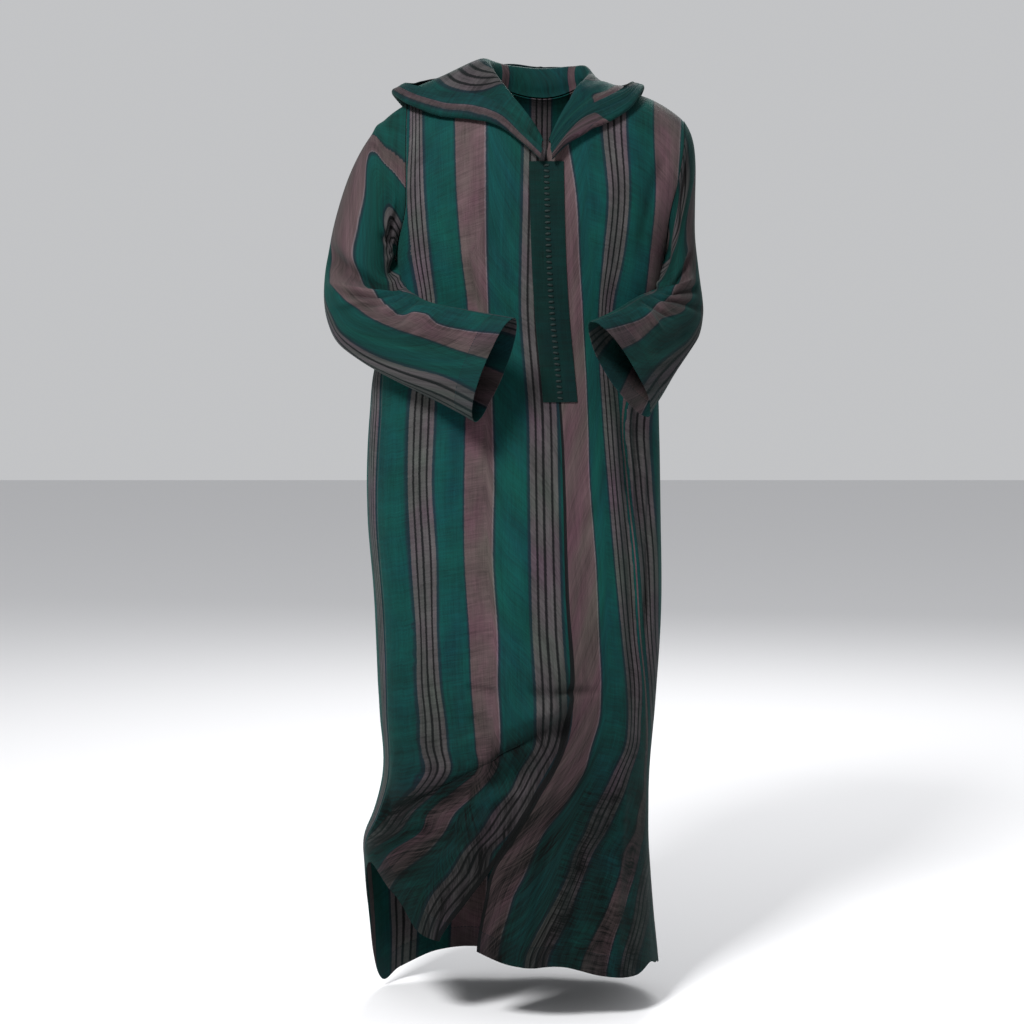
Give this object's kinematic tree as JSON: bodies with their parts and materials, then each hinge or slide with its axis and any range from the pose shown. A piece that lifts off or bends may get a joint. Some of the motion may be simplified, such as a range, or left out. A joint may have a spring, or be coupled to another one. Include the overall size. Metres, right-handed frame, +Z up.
{
  "type": "hooded kaftan",
  "caption": "Long striped hooded kaftan in its worn form, with V neck, knotted front placket, bent wide sleeves, a folded skirt and a front slit.",
  "frame": {"origin": "middle of the neck base, level with the shoulder line beside the neck, where the wearer's neck and shoulders hold the garment", "axes": "+Z up along the wearer's body, -Y to the garment's front, -X to the wearer's right"},
  "size_m": [0.6021, 0.4439, 1.5001],
  "materials": {
    "striped_cloth": "matte dark green cloth woven with mauve and slate stripes",
    "band_cloth": "plain very dark green cloth"
  },
  "bodies": {
    "root": {"front_right": "striped_cloth", "front_left": "striped_cloth", "back": "striped_cloth", "sleeve_right": "striped_cloth", "sleeve_left": "striped_cloth", "hood": "striped_cloth", "placket": "band_cloth"}
  },
  "joints": []
}
